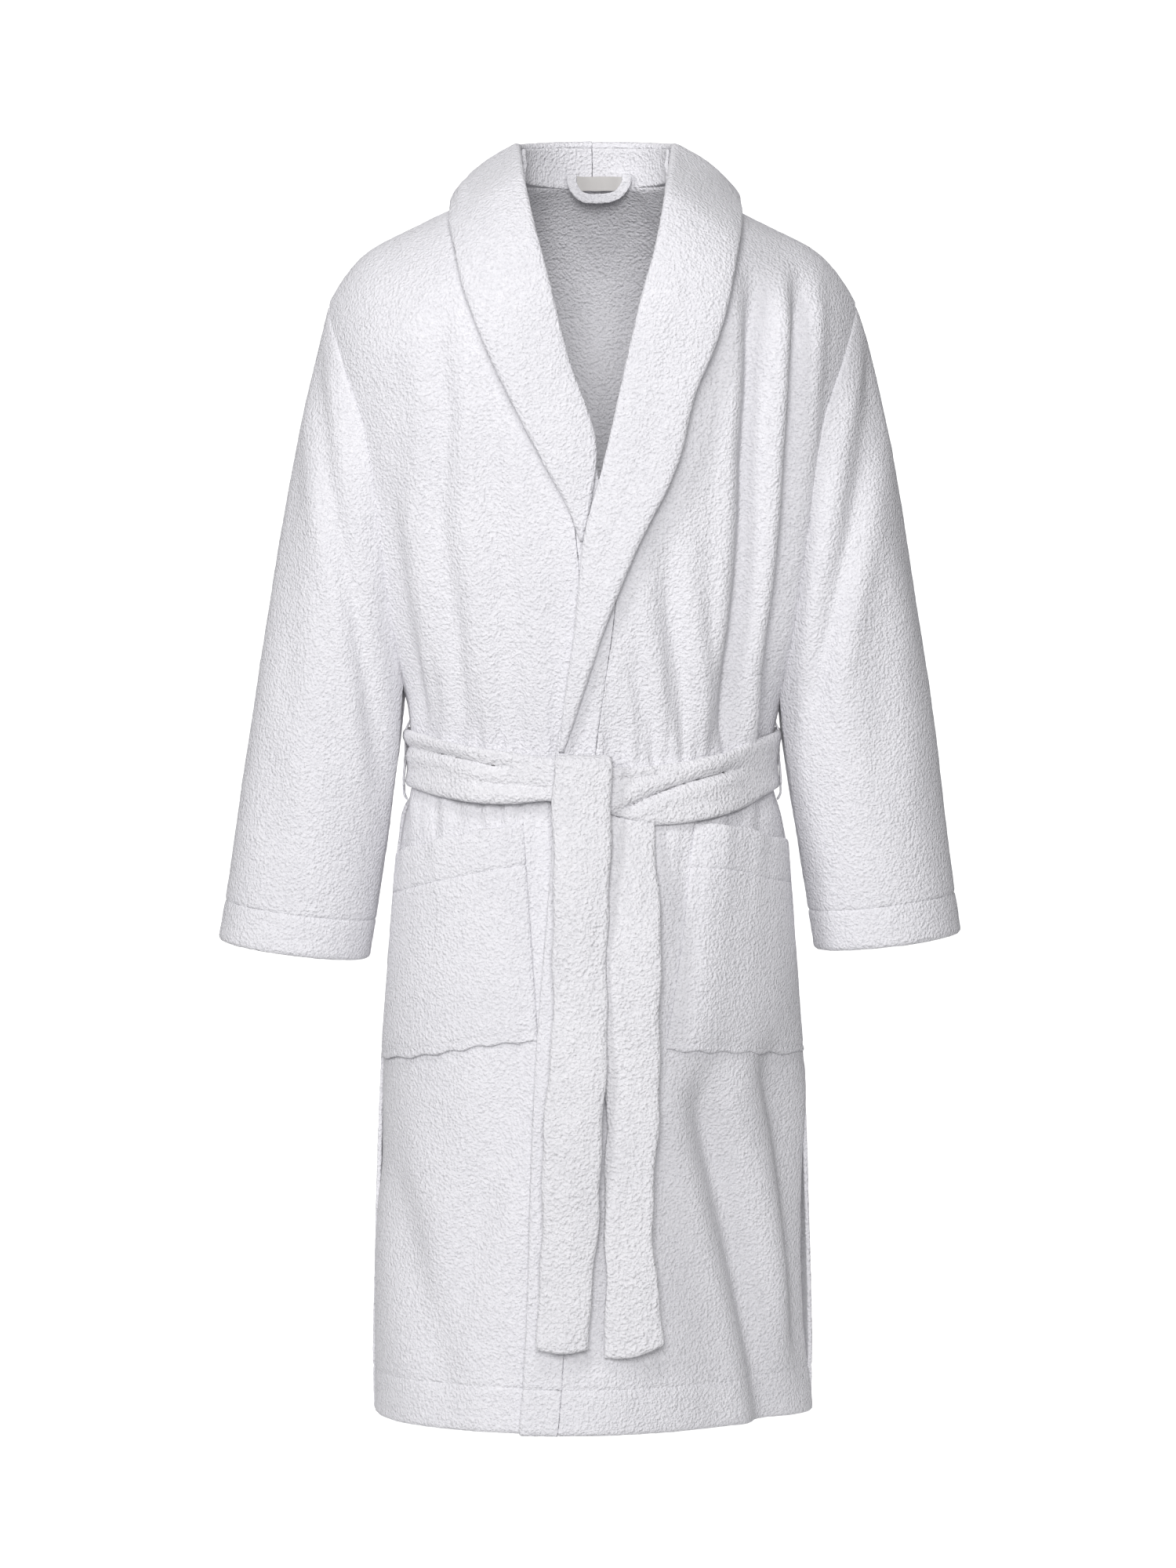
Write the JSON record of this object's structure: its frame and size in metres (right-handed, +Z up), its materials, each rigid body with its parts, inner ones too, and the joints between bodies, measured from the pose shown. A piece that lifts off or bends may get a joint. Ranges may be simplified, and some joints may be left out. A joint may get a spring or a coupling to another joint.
{
  "type": "bathrobe",
  "caption": "Knee-length wrap bathrobe in white terry with shawl collar, patch pockets, belt loops and a tied belt, filled out as worn.",
  "frame": {"origin": "centre of the neck hole, level with the back neck seam, where the robe rests on neck and shoulders", "axes": "+Z up along the robe, -Y out of the front, +X towards the wearer's left"},
  "size_m": [0.6972, 0.3087, 1.1983],
  "materials": {
    "terry": "white cotton terry with a short looped pile",
    "belt_terry": "white cotton terry, doubled",
    "label_weave": "grey woven satin ribbon"
  },
  "bodies": {
    "robe": {"back_panel": "terry", "front_panel_right": "terry", "front_panel_left": "terry", "front_band_right": "terry", "front_band_left": "terry", "hem_back": "terry", "hem_front_right": "terry", "hem_front_left": "terry", "pocket_right": "terry", "pocket_hem_right": "terry", "collar_right": "terry", "collar_stand_right": "terry", "belt_loop_right": "terry", "pocket_left": "terry", "pocket_hem_left": "terry", "collar_left": "terry", "collar_stand_left": "terry", "belt_loop_left": "terry", "belt_band": "belt_terry", "belt_knot": "belt_terry", "neck_label": "label_weave"},
    "sleeve_right": {"sleeve_right": "terry", "sleeve_hem_right": "terry"},
    "sleeve_left": {"sleeve_left": "terry", "sleeve_hem_left": "terry"},
    "tail_front": {"belt_tail_front": "belt_terry"},
    "tail_back": {"belt_tail_back": "belt_terry"},
    "loop": {"hanging_loop": "terry"}
  },
  "joints": [
    {"name": "sleeve_right_swing", "type": "hinge", "parent": "robe", "child": "sleeve_right", "pos_m": [-0.25, 0, -0.143], "axis": [0, 1, 0], "range_deg": [0, 32]},
    {"name": "sleeve_left_swing", "type": "hinge", "parent": "robe", "child": "sleeve_left", "pos_m": [0.25, 0, -0.143], "axis": [0, -1, 0], "range_deg": [0, 32]},
    {"name": "tail_front_swing", "type": "hinge", "parent": "robe", "child": "tail_front", "pos_m": [-0.008, -0.144, -0.557], "axis": [-1, 0, 0], "range_deg": [0, 70]},
    {"name": "tail_back_swing", "type": "hinge", "parent": "robe", "child": "tail_back", "pos_m": [0.062, -0.131, -0.6126], "axis": [0, -1, 0], "range_deg": [0, 25]},
    {"name": "hanging_loop_flip", "type": "hinge", "parent": "robe", "child": "loop", "pos_m": [0.005, 0.041, -0.001], "axis": [-1, 0, 0], "range_deg": [0, 150]}
  ]
}
